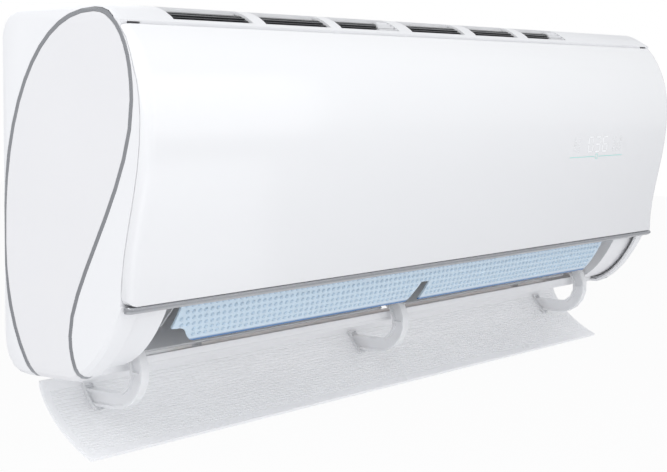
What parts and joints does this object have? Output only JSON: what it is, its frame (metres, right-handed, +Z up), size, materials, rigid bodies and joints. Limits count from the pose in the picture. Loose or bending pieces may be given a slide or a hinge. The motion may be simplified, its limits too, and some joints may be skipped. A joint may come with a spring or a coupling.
{
  "type": "mini split indoor unit",
  "caption": "Wall-mounted indoor unit of a mini split air conditioner with its outlet flap swung down, showing the louver, duct and cross-flow fan.",
  "frame": {"origin": "on the wall face of the mounting plate, at mid width and mid height of the casing", "axes": "+X along the unit to the viewer's right, -Y out of the wall into the room, +Z up"},
  "size_m": [1, 0.19, 0.4097],
  "materials": {
    "steel": "satin",
    "inner_plastic": "matte",
    "white_plastic": "satin",
    "side_plastic": "satin",
    "accent_metallic": "satin metallic",
    "dark_net": "matte",
    "fin_aluminium": "satin",
    "copper_tube": "satin metal",
    "brass": "satin",
    "rubber": "matte",
    "black_plastic": "matte",
    "board_green": "matte",
    "cover_plastic": "gloss",
    "chrome": "polished",
    "flap_plastic": "satin",
    "louver_plastic": "translucent gloss"
  },
  "bodies": {
    "casing": {"wall_plate": "steel", "chassis": "inner_plastic", "front_frame": "white_plastic", "left_side_panel": "side_plastic", "right_side_panel": "side_plastic", "left_accent_trim": "accent_metallic", "right_accent_trim": "accent_metallic", "left_outlet_cheek": "white_plastic", "right_outlet_cheek": "white_plastic", "drain_pan": "inner_plastic", "top_filter": "dark_net", "frame_screw_left": "steel", "frame_screw_right": "steel", "evaporator_front_lower": "fin_aluminium", "evaporator_front_upper": "fin_aluminium", "evaporator_rear": "fin_aluminium", "left_tube_sheet": "copper_tube", "right_tube_sheet": "copper_tube", "coil_sensor": "copper_tube", "gas_pipe": "copper_tube", "liquid_pipe": "copper_tube", "gas_flare_nut": "brass", "liquid_flare_nut": "brass", "fan_bearing": "rubber", "fan_motor": "steel", "motor_clamp": "inner_plastic", "electric_box": "black_plastic", "electric_box_lid": "steel", "control_board": "board_green", "terminal_block": "black_plastic", "display_board": "board_green", "flap_motor": "steel", "louver_motor": "steel", "left_vane_motor": "steel", "right_vane_motor": "steel", "flap_pivot_pin": "steel"},
    "cover": {"front_cover": "cover_plastic", "cover_trim": "chrome"},
    "flap": {"flap_panel": "flap_plastic", "flap_arm_left": "flap_plastic", "flap_arm_centre": "flap_plastic", "flap_arm_right": "flap_plastic"},
    "louver": {"louver": "louver_plastic"},
    "fan": {"impeller": "black_plastic", "fan_stub_shaft": "steel", "motor_shaft": "steel"},
    "left_vane_1": {"left_vane_1": "inner_plastic"},
    "left_vane_2": {"left_vane_2": "inner_plastic"},
    "left_vane_3": {"left_vane_3": "inner_plastic"},
    "left_vane_4": {"left_vane_4": "inner_plastic"},
    "left_vane_link": {"left_vane_link": "inner_plastic"},
    "right_vane_1": {"right_vane_1": "inner_plastic"},
    "right_vane_2": {"right_vane_2": "inner_plastic"},
    "right_vane_3": {"right_vane_3": "inner_plastic"},
    "right_vane_4": {"right_vane_4": "inner_plastic"},
    "right_vane_link": {"right_vane_link": "inner_plastic"},
    "left_filter": {"left_filter": "dark_net"},
    "right_filter": {"right_filter": "dark_net"},
    "emergency_button": {"emergency_button": "white_plastic"}
  },
  "joints": [
    {"name": "cover_hinge", "type": "hinge", "parent": "casing", "child": "cover", "pos_m": [0, -0.14, 0.153], "axis": [-1, 0, 0], "range_deg": [0, 60]},
    {"name": "flap_hinge", "type": "hinge", "parent": "casing", "child": "flap", "pos_m": [0, -0.052, -0.139], "axis": [1, 0, 0], "range_deg": [-91, 0]},
    {"name": "louver_tilt", "type": "hinge", "parent": "casing", "child": "louver", "pos_m": [0, -0.14219, -0.09942], "axis": [1, 0, 0], "range_deg": [0, 45]},
    {"name": "fan_spin", "type": "hinge", "parent": "casing", "child": "fan", "pos_m": [0, -0.082, -0.022], "axis": [1, 0, 0], "continuous": true},
    {"name": "left_vane_1_swing", "type": "hinge", "parent": "casing", "child": "left_vane_1", "pos_m": [-0.08, -0.04888, -0.1278], "axis": [0, -0.6374, 0.7705], "range_deg": [-31, 31]},
    {"name": "left_vane_2_swing", "type": "hinge", "parent": "casing", "child": "left_vane_2", "pos_m": [-0.17, -0.04888, -0.1278], "axis": [0, -0.6374, 0.7705], "range_deg": [-31, 31]},
    {"name": "left_vane_3_swing", "type": "hinge", "parent": "casing", "child": "left_vane_3", "pos_m": [-0.26, -0.04888, -0.1278], "axis": [0, -0.6374, 0.7705], "range_deg": [-31, 31]},
    {"name": "left_vane_4_swing", "type": "hinge", "parent": "casing", "child": "left_vane_4", "pos_m": [-0.35, -0.04888, -0.1278], "axis": [0, -0.6374, 0.7705], "range_deg": [-31, 31]},
    {"name": "left_vane_link_slide", "type": "slide", "parent": "casing", "child": "left_vane_link", "axis": [1, 0, 0], "range_m": [-0.0068, 0.0068]},
    {"name": "right_vane_1_swing", "type": "hinge", "parent": "casing", "child": "right_vane_1", "pos_m": [0.08, -0.04888, -0.1278], "axis": [0, -0.6374, 0.7705], "range_deg": [-31, 31]},
    {"name": "right_vane_2_swing", "type": "hinge", "parent": "casing", "child": "right_vane_2", "pos_m": [0.17, -0.04888, -0.1278], "axis": [0, -0.6374, 0.7705], "range_deg": [-31, 31]},
    {"name": "right_vane_3_swing", "type": "hinge", "parent": "casing", "child": "right_vane_3", "pos_m": [0.26, -0.04888, -0.1278], "axis": [0, -0.6374, 0.7705], "range_deg": [-31, 31]},
    {"name": "right_vane_4_swing", "type": "hinge", "parent": "casing", "child": "right_vane_4", "pos_m": [0.35, -0.04888, -0.1278], "axis": [0, -0.6374, 0.7705], "range_deg": [-31, 31]},
    {"name": "right_vane_link_slide", "type": "slide", "parent": "casing", "child": "right_vane_link", "axis": [1, 0, 0], "range_m": [-0.0068, 0.0068]},
    {"name": "left_filter_lift", "type": "slide", "parent": "casing", "child": "left_filter", "axis": [0, -0.0561, 0.9984], "range_m": [0, 0.01]},
    {"name": "right_filter_lift", "type": "slide", "parent": "casing", "child": "right_filter", "axis": [0, -0.0561, 0.9984], "range_m": [0, 0.01]},
    {"name": "emergency_button_press", "type": "slide", "parent": "casing", "child": "emergency_button", "axis": [0, 1, 0], "range_m": [0, 0.0015], "stiffness_N_per_m": 400}
  ],
  "couplings": [
    {"joint": "left_vane_1_swing", "follows": "left_vane_link_slide", "rad_per_m": -76.923},
    {"joint": "left_vane_2_swing", "follows": "left_vane_link_slide", "rad_per_m": -76.923},
    {"joint": "left_vane_3_swing", "follows": "left_vane_link_slide", "rad_per_m": -76.923},
    {"joint": "left_vane_4_swing", "follows": "left_vane_link_slide", "rad_per_m": -76.923},
    {"joint": "right_vane_1_swing", "follows": "right_vane_link_slide", "rad_per_m": -76.923},
    {"joint": "right_vane_2_swing", "follows": "right_vane_link_slide", "rad_per_m": -76.923},
    {"joint": "right_vane_3_swing", "follows": "right_vane_link_slide", "rad_per_m": -76.923},
    {"joint": "right_vane_4_swing", "follows": "right_vane_link_slide", "rad_per_m": -76.923}
  ]
}
